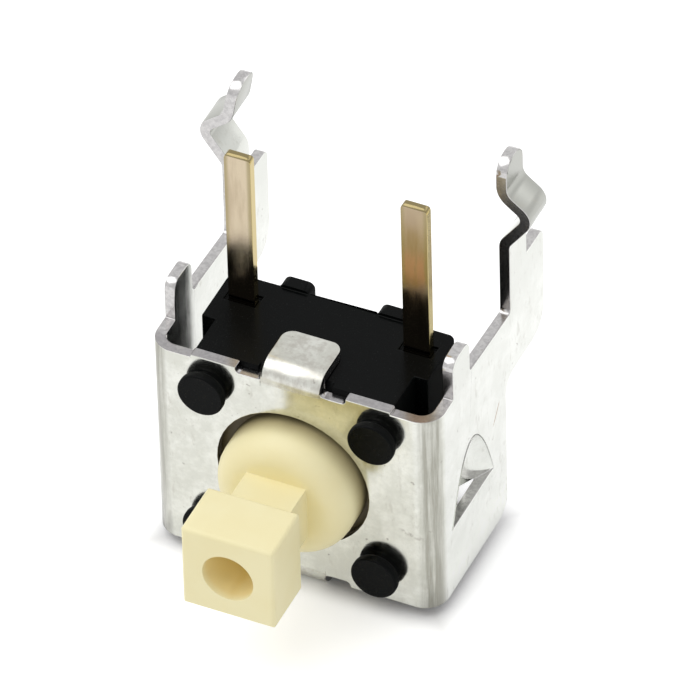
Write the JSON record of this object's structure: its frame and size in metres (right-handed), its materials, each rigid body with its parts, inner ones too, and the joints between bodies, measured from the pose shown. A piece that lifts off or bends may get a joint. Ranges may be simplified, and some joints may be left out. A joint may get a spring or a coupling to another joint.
{
  "type": "tactile push button switch",
  "caption": "Right-angle tactile push switch: black housing in a folded tin-plated snap-in bracket, square-headed ivory button facing sideways, two signal pins and two snap legs.",
  "frame": {"origin": "on the plane where the circuit board seats, halfway between the two signal pins", "axes": "+Z along the pins, away from the switch and through the board; +Y back from the button, which is the way it is pressed; +X to the right of someone facing the button"},
  "size_m": [0.0084, 0.0099, 0.0109],
  "materials": {
    "tinned_sheet": "tin-plated steel sheet with fine brush lines and light handling marks",
    "black_plastic": "moulded black nylon, glossy on top, satin on the staked pegs",
    "plated_brass": "silver-plated brass strip with bare brass at the cut edges",
    "spring_steel": "thin stainless spring steel",
    "ivory_plastic": "moulded ivory plastic, satin"
  },
  "bodies": {
    "base": {"bracket": "tinned_sheet", "housing": "black_plastic", "rim_terminal": "plated_brass", "centre_terminal": "plated_brass", "click_dome": "spring_steel"},
    "button": {"plunger": "ivory_plastic"}
  },
  "joints": [
    {"name": "button_press", "type": "slide", "parent": "base", "child": "button", "axis": [0, 1, 0], "range_m": [0, 0.00025], "stiffness_N_per_m": 6400, "deforming": ["click_dome"]}
  ]
}
